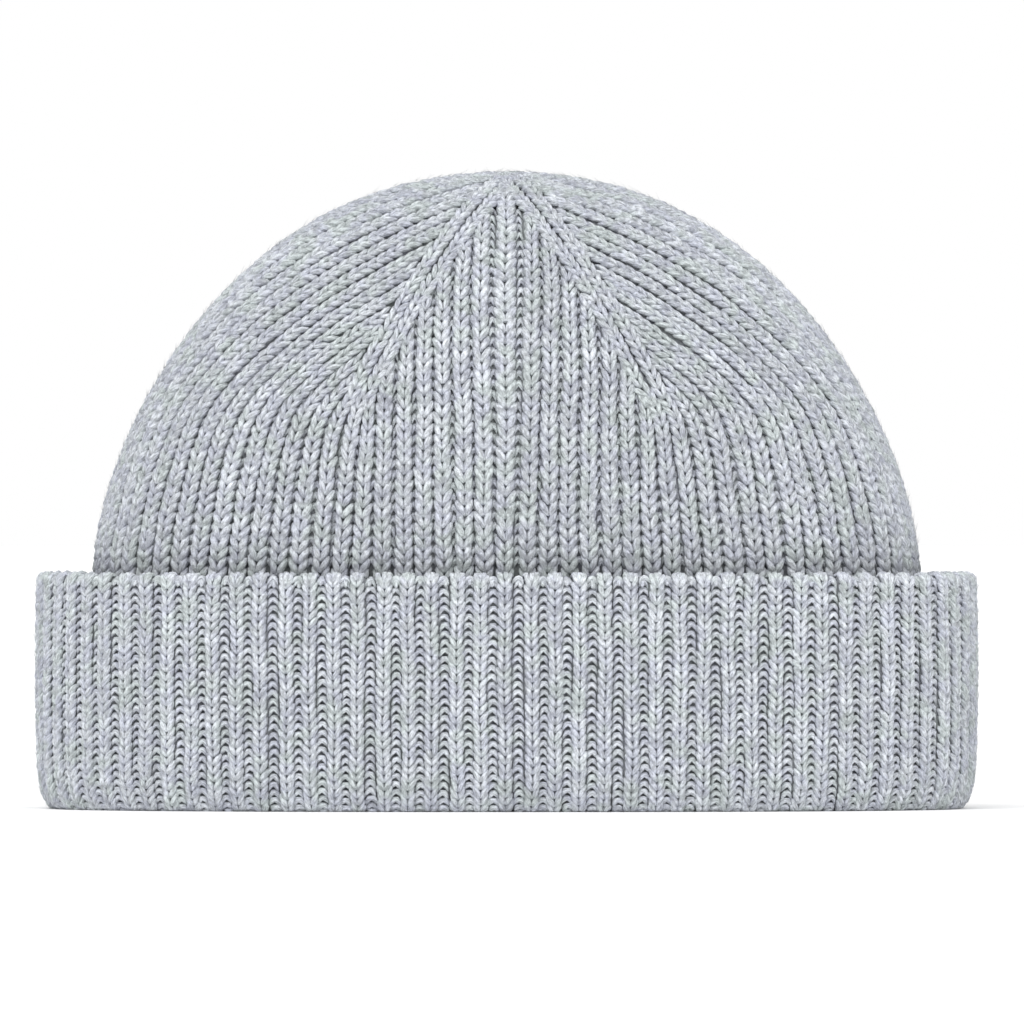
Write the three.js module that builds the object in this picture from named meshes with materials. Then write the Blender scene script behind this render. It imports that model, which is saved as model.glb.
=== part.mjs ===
import * as THREE from 'three';
import { mergeVertices } from 'three/addons/utils/BufferGeometryUtils.js';

// A ribbed knit beanie with a deep turned-up cuff, standing on its fold.
// Millimetres, +Z up, front towards -Y, origin in the middle of the resting face.

// Driving dimensions of the cuff
const cuffWidth = 225;
const cuffDepth = 112;
const cuffHeight = 57;
const cuffWall = 4.5;
const cuffBulge = 0.3;
const cuffRibRelief = 1.3;
const cuffEdgeScallop = 1.1;

// The fold at the bottom, where the knit turns from the crown into the cuff: it curves under
// slowly on the outside and tightly on the inside
const foldReach = 4.2;
const foldSwell = 13;
const foldRadius = 2.6;
const seatHeight = 5.5;
const foldSlit = 0.4;
const seatClearance = 0.3;

// Driving dimensions of the crown
const crownRise = 95.3;
const crownWall = 4;
const crownRibRelief = 1.2;
const cuffStandoffSide = 13.5;
const cuffStandoffFront = 11;

// Ribs and gores: the front and back gores narrow to nothing between two decrease lines,
// and the side gores keep a few ribs over the top
const frontGoreRibs = 16;
const sideGoreRibs = 32;
const sideRibsAtTop = 8;
const frontGoreWidth = 79.2;
const decreaseRise = 38.6;
const spineDrop = 1.3;

// Curves that the outline follows
const outlinePower = { width: 1.6, depth: 2.1 };
const outlineRoot = { width: 0.455, depth: 0.5 };
const splayPower = 1.5;
const spinePower = 0.8;
const spineEase = 0.1;
const ovalPower = 2.45;

// How much the front ribs draw together up to the decreases, and how much wider the middle
// ones stand above
const frontGather = 0.055;
const centreSpread = 0.26;
const centreSpreadPower = 1.3;

// Heights of the sections below the decreases, as shares of the named stretch they stand in
const hiddenSections = [{ share: 1 }, { share: 0.5 }, { share: 0.2 }];
const straightSections = [{ share: 0 }, { share: 0.35 }, { share: 0.7 }, { share: 0.95 }];
const innerSkips = { hidden: 1, straight: 1, gored: 2 };

// Rows of the fold's outside, by how far round its quarter turn they stand and how strong the ribs are
const foldRows = [
  { turn: 0, ribs: 0 },
  { turn: 30, ribs: 0.6 },
  { turn: 60, ribs: 1 },
  { turn: 90, ribs: 1 },
];

// Mesh columns for each rib: the outside has its ridges and valleys, the inside is smooth
const outerStepsPerRib = 2;
const innerStepsPerRib = 1;
const quarters = 4;

// Values that follow from the ones above
const frontHalfRibs = frontGoreRibs / 2;
const sideHalfRibs = sideGoreRibs / 2;
const quarterRibs = frontHalfRibs + sideHalfRibs;
const ribCount = quarterRibs * quarters;
const outerColumns = ribCount * outerStepsPerRib;
const innerColumns = ribCount * innerStepsPerRib;
const ribPitch = frontGoreWidth / frontGoreRibs;
const hatHeight = cuffHeight + crownRise;
const foldThickness = cuffWall + foldSlit + crownWall;
const wallEnd = seatHeight + seatClearance;
const spineBase = cuffHeight + decreaseRise;
const spineTop = hatHeight - spineDrop;
const crownHalf = {
  width: cuffWidth / 2 - cuffStandoffSide,
  depth: cuffDepth / 2 - cuffStandoffFront,
};
const seatHalf = {
  width: cuffWidth / 2 - cuffWall - foldSlit,
  depth: cuffDepth / 2 - cuffWall - foldSlit,
};

// Finish of the curves and the mesh
const arcSteps = 160;
const cornerShare = 1 - Math.SQRT1_2;
const nearby = 0.01;
const mergeDistance = 1e-3;
const tiny = 1e-6;

// Half the crown's width or depth at a height
function crownHalfAt(side, z) {
  if (z <= cuffHeight) {
    const splay = Math.pow((cuffHeight - z) / (cuffHeight - wallEnd), splayPower);
    return crownHalf[side] + (seatHalf[side] - crownHalf[side]) * splay;
  }
  const rise = Math.min(1, (z - cuffHeight) / crownRise);
  return crownHalf[side] * Math.pow(1 - Math.pow(rise, outlinePower[side]), outlineRoot[side]);
}

// Ribs still running in half of the front gore at a height; the decreases set in softly
function liveFrontRibs(z) {
  const share = (z - spineBase) / (spineTop - spineBase);
  const gone = (share + Math.hypot(share, spineEase)) / (1 + Math.hypot(1, spineEase));
  return frontHalfRibs * Math.pow(Math.max(0, 1 - gone), spinePower);
}

// Height at which a given number of front ribs is left
function heightOfLiveRibs(count) {
  const gone = 1 - Math.pow(count / frontHalfRibs, 1 / spinePower);
  const reach = gone * (1 + Math.hypot(1, spineEase));
  const share = (reach * reach - spineEase * spineEase) / (2 * reach);
  return spineBase + (spineTop - spineBase) * share;
}

// How far the decrease line stands from the middle at a height
function spineAcross(z) {
  const gathered = THREE.MathUtils.clamp((z - cuffHeight) / decreaseRise, 0, 1);
  return ribPitch * (1 - frontGather * gathered) * liveFrontRibs(z);
}

// Where a front rib stands, as a share of the way from the middle to the decrease line
function frontShare(rib, live, z) {
  const rise = THREE.MathUtils.clamp((z - cuffHeight) / crownRise, 0, 1);
  return Math.pow(rib / live, 1 - centreSpread * Math.pow(rise, centreSpreadPower));
}

// Points along a quarter of an oval, from startX to the side, with the length walked so far
function ovalArc(halfWidth, halfDepth, startX) {
  const start = Math.asin(Math.pow(startX / halfWidth, ovalPower / 2));
  const points = [];
  let walked = 0;
  for (let i = 0; i <= arcSteps; i++) {
    const angle = start + (Math.PI / 2 - start) * (i / arcSteps);
    const x = halfWidth * Math.pow(Math.sin(angle), 2 / ovalPower);
    const y = halfDepth * Math.pow(Math.max(0, Math.cos(angle)), 2 / ovalPower);
    if (i > 0) {
      walked += Math.hypot(x - points[i - 1].x, y - points[i - 1].y);
    }
    points.push({ x, y, walked });
  }
  return points;
}

function pointAtShare(points, share) {
  const target = points[points.length - 1].walked * share;
  const next = Math.max(1, points.findIndex((point) => point.walked >= target - tiny));
  const a = points[next - 1];
  const b = points[next];
  const mix = (target - a.walked) / (b.walked - a.walked);
  return { x: a.x + (b.x - a.x) * mix, y: a.y + (b.y - a.y) * mix };
}

// Where a column of the knit stands, as quadrant signs and ribs counted from the front centre
function columnPlace(column, columns) {
  const perQuarter = columns / quarters;
  const quarter = Math.floor(column / perQuarter);
  const step = column % perQuarter;
  const fromCentre = quarter % 2 === 0 ? step : perQuarter - step;
  return {
    rib: (fromCentre / perQuarter) * quarterRibs,
    signX: quarter < 2 ? 1 : -1,
    signY: quarter === 0 || quarter === 3 ? -1 : 1,
  };
}

// A valley lies halfway between two ribs
function isValley(rib) {
  return Math.abs(rib - Math.round(rib)) > tiny;
}

// Outward direction of the crown's surface
function crownNormal(x, y, z) {
  const level = (height) => Math.pow(Math.abs(x) / crownHalfAt('width', height), ovalPower)
    + Math.pow(Math.abs(y) / crownHalfAt('depth', height), ovalPower);
  const w = crownHalfAt('width', z);
  const d = crownHalfAt('depth', z);
  return new THREE.Vector3(
    Math.sign(x) * ovalPower * Math.pow(Math.abs(x) / w, ovalPower - 1) / w,
    Math.sign(y) * ovalPower * Math.pow(Math.abs(y) / d, ovalPower - 1) / d,
    (level(z + nearby) - level(z - nearby)) / (2 * nearby),
  ).normalize();
}

// One ring of the crown. Ribs past the decrease line are drawn together on it.
function crownRing(z, columns, inset) {
  const halfWidth = crownHalfAt('width', z);
  const halfDepth = crownHalfAt('depth', z);
  const live = liveFrontRibs(z);
  const sideLive = THREE.MathUtils.lerp(sideRibsAtTop / 2, sideHalfRibs, live / frontHalfRibs);
  const spineX = spineAcross(z);
  const sideArc = ovalArc(halfWidth, halfDepth, spineX);
  const ring = [];
  for (let column = 0; column < columns; column++) {
    const place = columnPlace(column, columns);
    const fromSide = quarterRibs - place.rib;
    const inFront = place.rib < live - tiny;
    const inSide = fromSide < sideLive - tiny;
    const share = inSide ? 1 - fromSide / sideLive : 0;
    let spot = pointAtShare(sideArc, share);
    if (inFront) {
      const x = spineX * frontShare(place.rib, live, z);
      spot = { x, y: halfDepth * Math.pow(1 - Math.pow(x / halfWidth, ovalPower), 1 / ovalPower) };
    }
    const relief = (inFront || inSide) && isValley(place.rib) ? crownRibRelief : 0;
    const point = new THREE.Vector3(spot.x * place.signX, spot.y * place.signY, z);
    const normal = crownNormal(point.x, point.y, z);
    if (z <= cuffHeight) {
      normal.setZ(0).normalize();
    }
    ring.push(point.addScaledVector(normal, -(inset > 0 ? inset : relief)));
  }
  return ring;
}

function poleRing(z, columns) {
  return Array.from({ length: columns }, () => new THREE.Vector3(0, 0, z));
}

// One ring of the cuff, from a row of its section
function cuffRing(row, columns) {
  const arc = ovalArc(cuffWidth / 2, cuffDepth / 2, 0);
  const ring = [];
  for (let column = 0; column < columns; column++) {
    const place = columnPlace(column, columns);
    const spot = pointAtShare(arc, place.rib / quarterRibs);
    const normal = new THREE.Vector2(
      Math.pow(spot.x / (cuffWidth / 2), ovalPower - 1) / cuffWidth,
      Math.pow(spot.y / (cuffDepth / 2), ovalPower - 1) / cuffDepth,
    ).normalize();
    const valley = isValley(place.rib) ? 1 : 0;
    const deep = row.inset + cuffRibRelief * row.ribs * valley;
    ring.push(new THREE.Vector3(
      (spot.x - normal.x * deep) * place.signX,
      (spot.y - normal.y * deep) * place.signY,
      row.z - cuffEdgeScallop * row.scallop * valley,
    ));
  }
  return ring;
}

// Triangles between two rings; a ring may have twice the columns of its neighbour
function joinRings(triangles, lower, upper) {
  const add = (a, b, c) => {
    if (Math.min(a.distanceTo(b), b.distanceTo(c), c.distanceTo(a)) > mergeDistance) {
      triangles.push(a, b, c);
    }
  };
  const count = Math.min(lower.length, upper.length);
  const lowStep = lower.length / count;
  const highStep = upper.length / count;
  for (let i = 0; i < count; i++) {
    const low = [0, 1, 2].map((k) => lower[(i * lowStep + k) % lower.length]);
    const high = [0, 1, 2].map((k) => upper[(i * highStep + k) % upper.length]);
    if (lowStep === highStep) {
      add(low[0], low[1], high[1]);
      add(low[0], high[1], high[0]);
    } else if (lowStep > highStep) {
      add(low[0], low[1], high[0]);
      add(low[1], high[1], high[0]);
      add(low[1], low[2], high[1]);
    } else {
      add(low[0], high[1], high[0]);
      add(low[0], low[1], high[1]);
      add(low[1], high[2], high[1]);
    }
  }
}

// A closed wall from a loop of rings that runs up the outside and down the inside
function wallFromRings(rings) {
  const triangles = [];
  rings.forEach((ring, i) => joinRings(triangles, ring, rings[(i + 1) % rings.length]));
  const geometry = new THREE.BufferGeometry().setFromPoints(triangles);
  const merged = mergeVertices(geometry, mergeDistance);
  merged.computeVertexNormals();
  return merged;
}

// Crown: one dome of knit, open below, down to the fold
function crownGeometry() {
  const heights = { hidden: [], straight: [], gored: [] };
  for (const row of hiddenSections) {
    heights.hidden.push(cuffHeight - (cuffHeight - wallEnd) * row.share);
  }
  for (const row of straightSections) {
    heights.straight.push(cuffHeight + decreaseRise * row.share);
  }
  for (let count = frontHalfRibs - 1; count >= 0; count--) {
    heights.gored.push(heightOfLiveRibs(count));
  }
  const outside = Object.values(heights).flat();
  const inside = Object.keys(heights).flatMap((name) => (
    heights[name].filter((_, i) => (heights[name].length - 1 - i) % innerSkips[name] === 0)
  ));
  const rings = outside.map((z) => crownRing(z, outerColumns, 0));
  rings.push(poleRing(hatHeight, outerColumns));
  rings.push(poleRing(hatHeight - crownWall, innerColumns));
  for (const z of inside.reverse()) {
    rings.push(crownRing(z, innerColumns, crownWall));
  }
  return wallFromRings(rings);
}

// Cuff: the turned-up band with the fold below it, which the crown's wall stands on.
// Its section is a loop of rows: up the ribbed outer face, over the edge, down to the seat, round the fold.
function cuffGeometry() {
  const edge = cuffWall / 2;
  const edgeCut = edge * cornerShare;
  const foldCut = foldRadius * cornerShare;
  const foldFace = foldRows.map(({ turn, ribs }) => {
    const angle = THREE.MathUtils.degToRad(turn);
    const inset = foldReach * (1 - Math.sin(angle));
    return { inset, z: foldSwell * (1 - Math.cos(angle)), ribs, scallop: 0 };
  });
  const outerFace = [
    ...foldFace,
    { inset: -cuffBulge, z: cuffHeight / 2, ribs: 1, scallop: 0 },
    { inset: 0, z: cuffHeight - edge, ribs: 1, scallop: 0.6 },
    { inset: edgeCut, z: cuffHeight - edgeCut, ribs: 0.8, scallop: 1 },
    { inset: edge, z: cuffHeight, ribs: 0.1, scallop: 1 },
  ];
  const innerFace = [
    { inset: cuffWall - edgeCut, z: cuffHeight - edgeCut, ribs: 0, scallop: 0 },
    { inset: cuffWall, z: cuffHeight - edge, ribs: 0, scallop: 0 },
    { inset: cuffWall, z: seatHeight, ribs: 0, scallop: 0 },
    { inset: foldThickness, z: seatHeight, ribs: 0, scallop: 0 },
    { inset: foldThickness, z: foldRadius, ribs: 0, scallop: 0 },
    { inset: foldThickness - foldCut, z: foldCut, ribs: 0, scallop: 0 },
    { inset: foldThickness - foldRadius, z: 0, ribs: 0, scallop: 0 },
  ];
  return wallFromRings([
    ...outerFace.map((row) => cuffRing(row, outerColumns)),
    ...innerFace.map((row) => cuffRing(row, innerColumns)),
  ]);
}

function knitMaterial(colour) {
  return new THREE.MeshStandardMaterial({ color: colour, roughness: 0.95, metalness: 0 });
}

const hat = new THREE.Group();

const crown = new THREE.Mesh(crownGeometry(), knitMaterial(0xb9bec5));
crown.name = 'crown';
hat.add(crown);

const cuff = new THREE.Mesh(cuffGeometry(), knitMaterial(0xb4bac1));
cuff.name = 'cuff';
hat.add(cuff);

export default hat;
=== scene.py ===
import math

import bmesh
import bpy
import numpy as np
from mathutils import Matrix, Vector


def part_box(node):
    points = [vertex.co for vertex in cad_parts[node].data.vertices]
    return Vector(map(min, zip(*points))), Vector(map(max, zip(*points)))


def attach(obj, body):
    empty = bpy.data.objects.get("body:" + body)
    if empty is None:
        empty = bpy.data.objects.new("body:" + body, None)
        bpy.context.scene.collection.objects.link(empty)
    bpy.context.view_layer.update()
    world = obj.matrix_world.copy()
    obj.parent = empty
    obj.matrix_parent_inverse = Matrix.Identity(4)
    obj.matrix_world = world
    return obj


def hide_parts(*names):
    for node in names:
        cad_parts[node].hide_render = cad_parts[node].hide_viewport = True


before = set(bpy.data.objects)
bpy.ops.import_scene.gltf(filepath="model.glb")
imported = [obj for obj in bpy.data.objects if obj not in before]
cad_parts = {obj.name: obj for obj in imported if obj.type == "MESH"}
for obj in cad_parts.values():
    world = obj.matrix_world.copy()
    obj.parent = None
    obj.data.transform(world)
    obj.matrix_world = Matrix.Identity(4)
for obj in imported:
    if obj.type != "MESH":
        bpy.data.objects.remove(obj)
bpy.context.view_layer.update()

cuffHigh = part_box("cuff")[1]
crownLow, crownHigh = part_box("crown")
mm = 0.001
rng = np.random.default_rng(11)

# the hat's outline: the same few sizes as the frame, in metres
outline = {
    "cuffBulge": 0.3 * mm,
    "cuffWall": 4.5 * mm,
    "crownWall": 4.0 * mm,
    "foldSlit": 0.4 * mm,
    "foldReach": 4.2 * mm,               # the fold curves under slowly outside and tightly inside
    "foldSwell": 13 * mm,
    "foldRadius": 2.6 * mm,
    "standoff": (13.5 * mm, 11 * mm),    # how far the cuff stands off the crown, at the side and in front
    "domePower": (1.6, 2.1),
    "domeRoot": (0.455, 0.5),
    "splayPower": 1.5,
    "ovalPower": 2.45,
    "arcPoints": 181,
    "frontHalfRibs": 8,
    "sideHalfRibs": 16,
    "sideRibsAtTop": 4,
    "frontPitch": 79.2 * mm / 16,
    "frontGather": 0.055,                # how much the front ribs draw together up to the decreases
    "centreSpread": 0.26,                # how much wider the middle ribs stand near the top
    "centreSpreadPower": 1.3,
    "decreaseRise": 38.6 * mm,
    "spineDrop": 1.3 * mm,
    "spinePower": 0.8,
    "spineEase": 0.1,
}
cuffTop = cuffHigh.z
hatTop = crownHigh.z
crownEnd = crownLow.z
cuffHalf = (cuffHigh.x - outline["cuffBulge"], cuffHigh.y - outline["cuffBulge"])
crownHalf = [cuffHalf[i] - outline["standoff"][i] for i in (0, 1)]
seatHalf = [cuffHalf[i] - outline["cuffWall"] - outline["foldSlit"] for i in (0, 1)]
foldThickness = outline["cuffWall"] + outline["foldSlit"] + outline["crownWall"]
quarterRibs = outline["frontHalfRibs"] + outline["sideHalfRibs"]
ribCount = 4 * quarterRibs
spineBase = cuffTop + outline["decreaseRise"]
spineTop = hatTop - outline["spineDrop"]


def halfAt(side, z):
    rise = np.clip((z - cuffTop) / (hatTop - cuffTop), 0, 1)
    dome = crownHalf[side] * (1 - rise ** outline["domePower"][side]) ** outline["domeRoot"][side]
    splay = np.clip((cuffTop - z) / (cuffTop - crownEnd), 0, 1) ** outline["splayPower"]
    return dome + (seatHalf[side] - crownHalf[side]) * splay


def liveFrontRibs(z):
    # the decreases set in softly, so the ribs lean over without a kink
    ease = outline["spineEase"]
    share = (z - spineBase) / (spineTop - spineBase)
    gone = (share + np.sqrt(share ** 2 + ease ** 2)) / (1 + math.sqrt(1 + ease ** 2))
    return outline["frontHalfRibs"] * np.clip(1 - gone, 0, 1) ** outline["spinePower"]


def spineAcross(z):
    # how far the decrease line stands from the middle
    gather = outline["frontGather"] * np.clip((z - cuffTop) / outline["decreaseRise"], 0, 1)
    return outline["frontPitch"] * (1 - gather) * liveFrontRibs(z)


def ribSpread(z):
    share = np.clip((z - cuffTop) / (hatTop - cuffTop), 0, 1)
    return 1 - outline["centreSpread"] * share ** outline["centreSpreadPower"]


def ovalDepth(x, halfWidth, halfDepth):
    # how far the oval stands off its middle line at x
    power = outline["ovalPower"]
    return halfDepth * (1 - np.clip(x / halfWidth, 0, 1) ** power) ** (1 / power)


def ovalArc(halfWidth, halfDepth, startX):
    # a quarter of the oval from startX round to the side, and the length walked so far
    power = outline["ovalPower"]
    start = np.arcsin(min(1.0, (startX / halfWidth) ** (power / 2)))
    angle = np.linspace(start, math.pi / 2, outline["arcPoints"])
    x = halfWidth * np.sin(angle) ** (2 / power)
    y = halfDepth * np.clip(np.cos(angle), 0, 1) ** (2 / power)
    walked = np.concatenate([[0], np.cumsum(np.hypot(np.diff(x), np.diff(y)))])
    return x, y, walked


def foldRib(rib):
    # a rib's number round the hat becomes ribs from the front or back centre, and its quadrant
    rib = rib % ribCount
    quarter = int(rib // quarterRibs)
    step = rib - quarter * quarterRibs
    fromCentre = step if quarter % 2 == 0 else quarterRibs - step
    return fromCentre, (1 if quarter < 2 else -1), (-1 if quarter in (0, 3) else 1)


# the crown's surface as a table of levels and quarter ribs
levelCount = 340
rise = np.linspace(0, 1, levelCount)
crownZ = hatTop - (hatTop - crownEnd) * (1 - rise) ** 2
crownZ[-1] = hatTop - 0.002 * mm        # just below the top, where a level is still a ring
columnsPerRib = 4
crownX = np.zeros((levelCount, quarterRibs * columnsPerRib + 1))
crownY = np.zeros_like(crownX)
for i, z in enumerate(crownZ):
    halfWidth, halfDepth, live = halfAt(0, z), halfAt(1, z), liveFrontRibs(z)
    narrowing = outline["sideHalfRibs"] - outline["sideRibsAtTop"]
    sideLive = outline["sideRibsAtTop"] + narrowing * live / outline["frontHalfRibs"]
    x, y, walked = ovalArc(halfWidth, halfDepth, spineAcross(z))
    rib = np.arange(crownX.shape[1]) / columnsPerRib
    share = np.clip(1 - (quarterRibs - rib) / sideLive, 0, 1) * walked[-1]
    frontX = spineAcross(z) * np.clip(rib / max(live, 0.01), 0, 1) ** ribSpread(z)
    frontY = ovalDepth(frontX, halfWidth, halfDepth)
    inFront = rib < live
    crownX[i] = np.where(inFront, frontX, np.interp(share, walked, x))
    crownY[i] = np.where(inFront, frontY, np.interp(share, walked, y))


def crownNormals(points):
    power = outline["ovalPower"]
    z = np.clip(points[:, 2], crownEnd, hatTop - 0.01 * mm)
    w, d = halfAt(0, z), halfAt(1, z)
    near = 0.005 * mm
    wSlope = (halfAt(0, z + near) - halfAt(0, z - near)) / (2 * near)
    dSlope = (halfAt(1, z + near) - halfAt(1, z - near)) / (2 * near)
    ax, ay = np.abs(points[:, 0]), np.abs(points[:, 1])
    normal = np.stack([
        np.sign(points[:, 0]) * (ax / w) ** (power - 1) / w,
        np.sign(points[:, 1]) * (ay / d) ** (power - 1) / d,
        -((ax / w) ** power * wSlope / w + (ay / d) ** power * dSlope / d),
    ], axis=1)
    return normal / np.linalg.norm(normal, axis=1, keepdims=True)


def crownColumn(rib):
    fromCentre, signX, signY = foldRib(rib)
    column = int(round(fromCentre * columnsPerRib))
    return np.stack([crownX[:, column] * signX, crownY[:, column] * signY, crownZ], axis=1)


def unit(v):
    return v / np.maximum(np.linalg.norm(v, axis=-1, keepdims=True), 1e-12)


def walkedLength(points):
    return np.concatenate([[0], np.cumsum(np.linalg.norm(np.diff(points, axis=0), axis=1))])


# how a column of stitches strays from its line, and each stitch from its place
stray = {
    "drift": 0.16 * mm, "longWave": 9 * mm, "shortWave": 3.7 * mm, "shortShare": 0.7,
    "start": 0.2,                        # in rows
    # standard deviations of each stitch's turn, size and depth
    "turn": math.radians(4.5), "size": 0.05, "depth": 0.08 * mm,
}


def placesAlong(points, normals, widths, pitch, start=0.0, end=None):
    # stitch places at an even pitch along a path: middle, three directions and width
    walked = walkedLength(points)
    end = walked[-1] if end is None else end
    at = np.arange(start + rng.uniform(-stray["start"], stray["start"]) * pitch, end, pitch)
    tangents = unit(np.gradient(points, walked, axis=0))

    def pick(table):
        return np.stack([np.interp(at, walked, table[:, k]) for k in range(table.shape[1])], axis=1)

    up = unit(pick(tangents))
    out = pick(normals)
    out = unit(out - up * (out * up).sum(axis=1, keepdims=True))
    across = np.cross(up, out)
    phase = rng.uniform(0, 2 * math.pi, 2)
    longWave = np.sin(at / stray["longWave"] + phase[0])
    shortWave = np.sin(at / stray["shortWave"] + phase[1])
    wander = (longWave + stray["shortShare"] * shortWave) * stray["drift"]
    return {
        "middle": pick(points) + across * wander[:, None],
        "up": up, "out": out, "across": across,
        "width": np.interp(at, walked, widths), "pitch": np.full(len(at), pitch),
    }


def joinPlaces(several):
    several = [p for p in several if len(p["middle"])]
    return {key: np.concatenate([p[key] for p in several]) for key in several[0]}


# stitches, each modelled once and laid in rows afterwards
stitchShape = {
    "legSides": 5, "legRings": 5,
    "legThickness": 0.88, "legLength": 1.9,         # in row pitches
    "legLean": 27,                                  # degrees
    "legFromMiddle": 0.47,
    "legArch": 0.16,
    "headTuck": 0.34,                               # how far the head dives behind the next stitch
    "archSides": 5, "archRings": 6,
    "archDrop": 1.1, "archTuck": 0.2,               # how far the feet of a purl's arch fall and dive
    "archFoot": 3.0,                                # how much thicker its feet are
    "castOnSides": 5, "castOnRings": 6,
    "castOnWrap": 1.75,                             # how far its ends fall over the edge, in thicknesses
    "castOnFoot": 0.5,
    "fibreSides": 3,
}


def deselectAll():
    if bpy.context.object and bpy.context.object.mode != "OBJECT":
        bpy.ops.object.mode_set(mode="OBJECT")
    bpy.ops.object.select_all(action="DESELECT")


def slideRings(obj, axis, shift, growth=lambda place: 1.0):
    # each ring of the strand is picked by its place along the axis, grown and slid sideways
    bpy.ops.object.mode_set(mode="EDIT")
    places = sorted({round(v.co[axis], 6) for v in obj.data.vertices})
    for place in places:
        mesh = bmesh.from_edit_mesh(obj.data)
        for v in mesh.verts:
            v.select = abs(v.co[axis] - place) < 1e-5
        mesh.select_flush_mode()
        bmesh.update_edit_mesh(obj.data)
        bpy.ops.transform.resize(value=(1, growth(place), 1) if axis == 0 else (growth(place), 1, 1))
        bpy.ops.transform.translate(value=shift(place))
    bpy.ops.object.mode_set(mode="OBJECT")


def modelStitch():
    deselectAll()
    bpy.ops.mesh.primitive_uv_sphere_add(
        segments=stitchShape["legSides"], ring_count=stitchShape["legRings"], radius=0.5,
        rotation=(math.radians(-90), 0, 0))
    leg = bpy.context.object
    leg.name = "stitchMaster"
    leg.scale = (stitchShape["legThickness"], 1.0, stitchShape["legLength"])
    bpy.ops.object.transform_apply(rotation=True, scale=True)
    half = stitchShape["legLength"] / 2

    def shift(place):
        t = (place + half) / (2 * half)
        return (0, 0, stitchShape["legArch"] * math.sin(math.pi * t) - stitchShape["headTuck"] * t ** 2)

    slideRings(leg, 1, shift)
    leg.rotation_euler = (0, 0, -math.radians(stitchShape["legLean"]))
    leg.location = (stitchShape["legFromMiddle"], 0, 0)
    bpy.ops.object.transform_apply(location=True, rotation=True)
    mirror = leg.modifiers.new("otherLeg", "MIRROR")
    mirror.use_mirror_merge = False
    bpy.ops.object.modifier_apply(modifier="otherLeg")
    leg.scale = (1 / leg.dimensions.x, 1, 1)        # the stitch is one wide and one row high
    bpy.ops.object.transform_apply(scale=True)
    return leg


def modelBump():
    deselectAll()
    bpy.ops.mesh.primitive_uv_sphere_add(
        segments=stitchShape["archSides"], ring_count=stitchShape["archRings"], radius=0.5,
        rotation=(0, math.radians(90), 0))
    bump = bpy.context.object
    bump.name = "bumpMaster"
    bpy.ops.object.transform_apply(rotation=True)
    drop, tuckAndPaintedShade = stitchShape["archDrop"], stitchShape["archTuck"]
    slideRings(bump, 0, lambda place: (0, -drop * (2 * place) ** 2, -tuckAndPaintedShade * (2 * place) ** 2),
               lambda place: 1 + stitchShape["archFoot"] * (2 * place) ** 2)
    return bump


def modelCastOn():
    # a short strand that wraps over the cuff's edge
    deselectAll()
    bpy.ops.mesh.primitive_uv_sphere_add(
        segments=stitchShape["castOnSides"], ring_count=stitchShape["castOnRings"], radius=0.5,
        rotation=(math.radians(-90), 0, 0))
    strand = bpy.context.object
    strand.name = "castOnMaster"
    bpy.ops.object.transform_apply(rotation=True)
    slideRings(strand, 1, lambda place: (0, 0, -stitchShape["castOnWrap"] * (2 * place) ** 2),
               lambda place: 1 + stitchShape["castOnFoot"] * (2 * place) ** 2)
    return strand


def modelFibre():
    deselectAll()
    bpy.ops.mesh.primitive_cone_add(
        vertices=stitchShape["fibreSides"], radius1=0.5, depth=1.0, rotation=(math.radians(-90), 0, 0))
    fibre = bpy.context.object
    fibre.name = "fibreMaster"
    bpy.ops.object.transform_apply(rotation=True)
    return fibre


def readMaster(obj):
    mesh = obj.data
    co = np.zeros(len(mesh.vertices) * 3)
    mesh.vertices.foreach_get("co", co)
    corners = np.zeros(len(mesh.loops), int)
    mesh.loops.foreach_get("vertex_index", corners)
    starts = np.zeros(len(mesh.polygons), int)
    mesh.polygons.foreach_get("loop_start", starts)
    totals = np.zeros(len(mesh.polygons), int)
    mesh.polygons.foreach_get("loop_total", totals)
    uv = np.zeros(len(mesh.loops) * 2)
    mesh.uv_layers[0].data.foreach_get("uv", uv)
    master = {"co": co.reshape(-1, 3), "corners": corners, "starts": starts, "totals": totals,
              "uv": uv.reshape(-1, 2)}
    bpy.data.objects.remove(obj)
    return master


bakeMargin = 0.02          # of each stitch's own cell in the second UV map


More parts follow.
